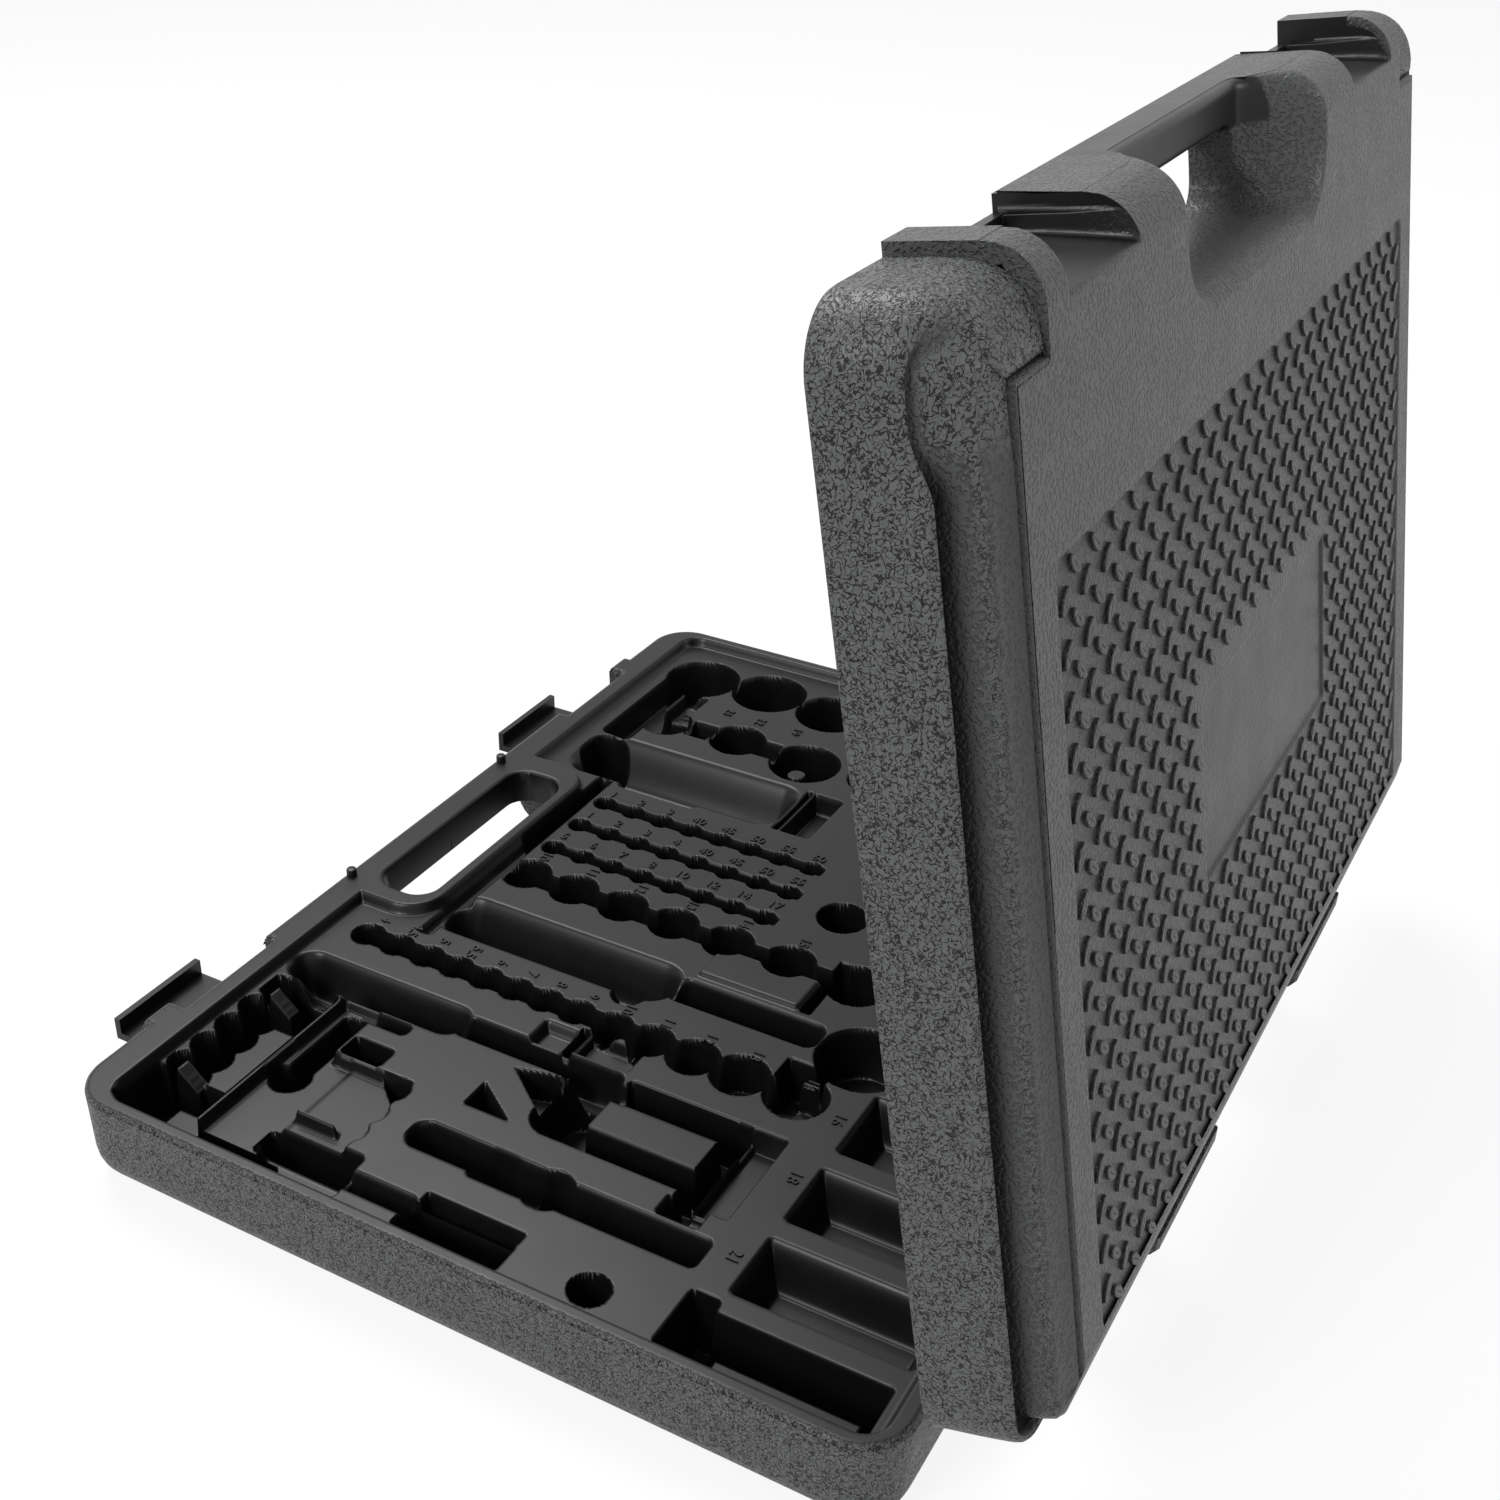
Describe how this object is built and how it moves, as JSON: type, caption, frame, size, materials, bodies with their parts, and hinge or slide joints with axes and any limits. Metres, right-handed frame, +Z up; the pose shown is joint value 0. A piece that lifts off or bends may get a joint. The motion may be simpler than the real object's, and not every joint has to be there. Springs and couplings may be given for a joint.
{
  "type": "socket wrench set case",
  "caption": "Open blow-moulded tool case with a moulded tray of pockets for sockets, bits and ratchets, a tread-pattern lid, a hinge and flip latches.",
  "frame": {"origin": "centre of the lower half's flat underside", "axes": "+Z up, X along the hinge, handle and latches towards -Y, hinge towards +Y"},
  "size_m": [0.392, 0.3768, 0.3483],
  "materials": {
    "case_plastic": "grained outside, satin inside",
    "latch_plastic": "satin",
    "pin_steel": "bright drawn"
  },
  "bodies": {
    "base": {"base_shell": "case_plastic", "hinge_pin_right": "pin_steel", "hinge_pin_left": "pin_steel", "latch_pin_right": "pin_steel", "latch_pin_left": "pin_steel"},
    "lid": {"lid_shell": "case_plastic"},
    "right_latch": {"latch_right": "latch_plastic"},
    "left_latch": {"latch_left": "latch_plastic"}
  },
  "joints": [
    {"name": "lid_hinge", "type": "hinge", "parent": "base", "child": "lid", "pos_m": [0, 0.1605, 0.035], "axis": [-1, 0, 0], "range_deg": [-81, 14]},
    {"name": "right_latch_hinge", "type": "hinge", "parent": "base", "child": "right_latch", "pos_m": [0.12, -0.1495, 0.0055], "axis": [1, 0, 0], "range_deg": [-90, 0]},
    {"name": "left_latch_hinge", "type": "hinge", "parent": "base", "child": "left_latch", "pos_m": [-0.12, -0.1495, 0.0055], "axis": [1, 0, 0], "range_deg": [-90, 0]}
  ]
}
